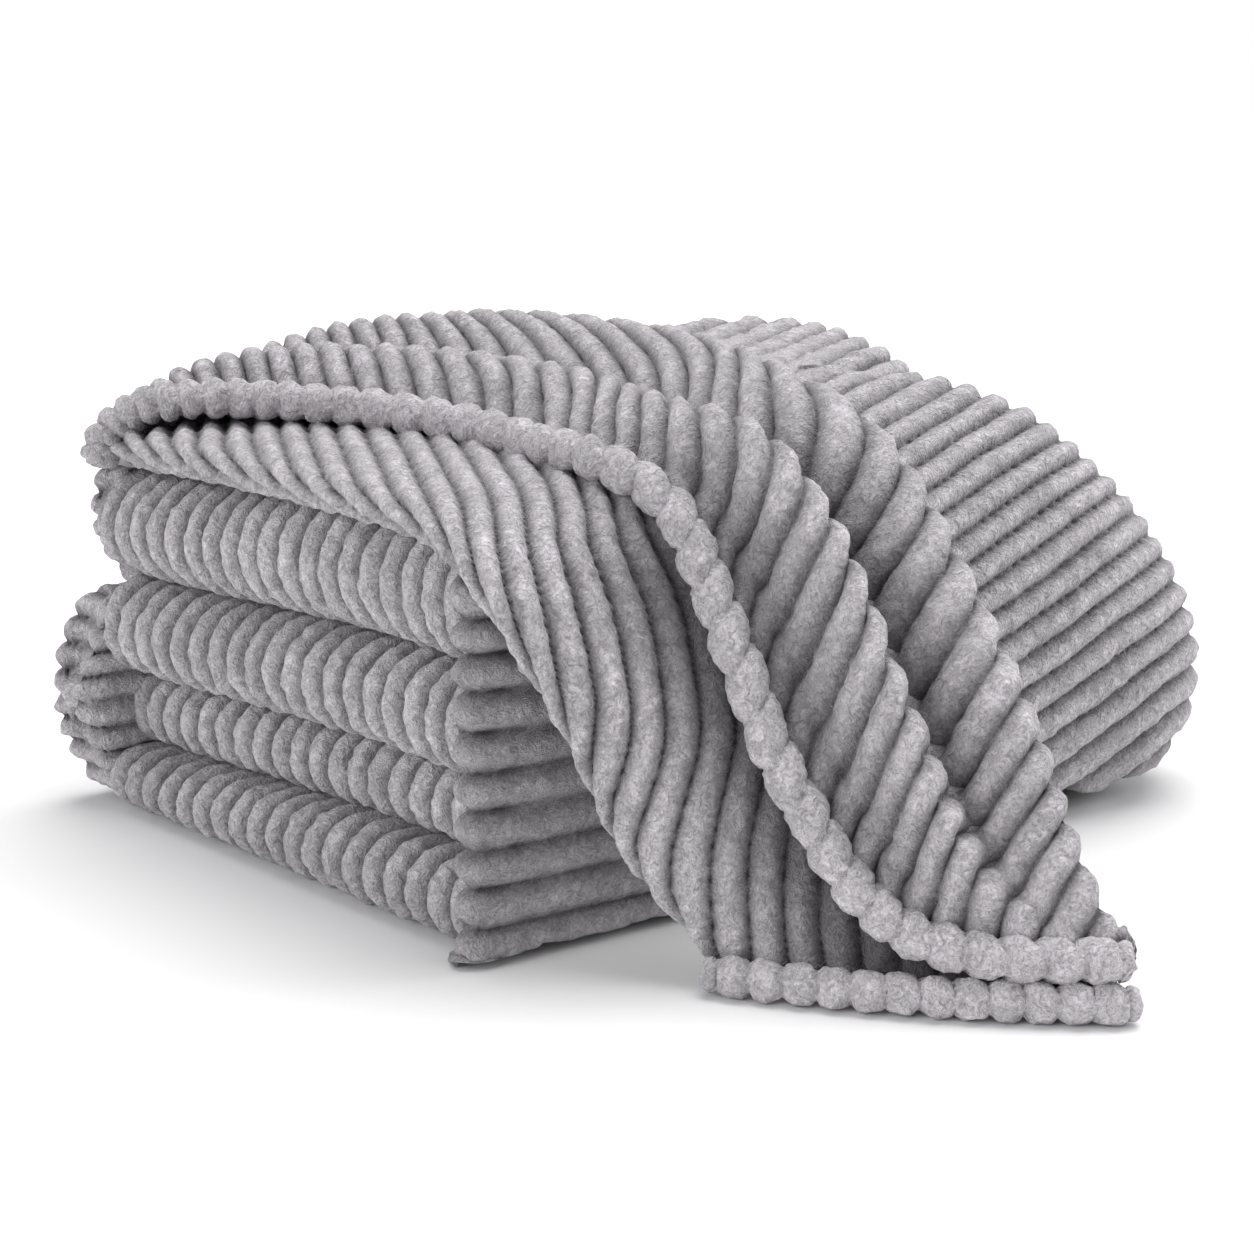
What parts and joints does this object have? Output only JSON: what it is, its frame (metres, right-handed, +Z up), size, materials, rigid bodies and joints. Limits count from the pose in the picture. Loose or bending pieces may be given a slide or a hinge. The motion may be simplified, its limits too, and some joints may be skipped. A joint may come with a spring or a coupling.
{
  "type": "folded throw blanket",
  "caption": "Thick ribbed plush throw, folded into a layered stack with a full rounded far end and a doubled tail that drapes over one side to the floor.",
  "frame": {"origin": "centre of the bounding box on the floor plane", "axes": "+Z up from the floor, +X along the stack's long side from the layered end to the rounded far roll, -Y towards the draped tail"},
  "size_m": [0.4095, 0.4897, 0.1945],
  "materials": {
    "plush": "sheared ribbed plush fleece, grey with a faint lilac cast",
    "rim": "the same plush, turned and sewn into a beaded rim",
    "thread": "matt polyester thread",
    "label": "plain satin ribbon, blank"
  },
  "bodies": {
    "stack": {"bottom_fold": "plush", "inner_fold": "plush", "middle_fold": "plush", "upper_fold": "plush", "top_ply": "plush", "side_wrap": "plush", "back_wrap_lower": "plush", "back_wrap_upper": "plush", "far_fold": "plush", "over_ply": "plush", "hem_top": "rim", "thread_top": "thread", "care_label": "label"},
    "tail": {"tail_under": "plush", "tail_over": "plush", "hem_floor": "rim", "hem_tail": "rim", "thread_tail": "thread"}
  },
  "joints": [
    {"name": "tail_lift", "type": "hinge", "parent": "stack", "child": "tail", "pos_m": [-0.106, -0.0405, 0.1845], "axis": [-1, 0, 0], "range_deg": [0, 60]}
  ]
}
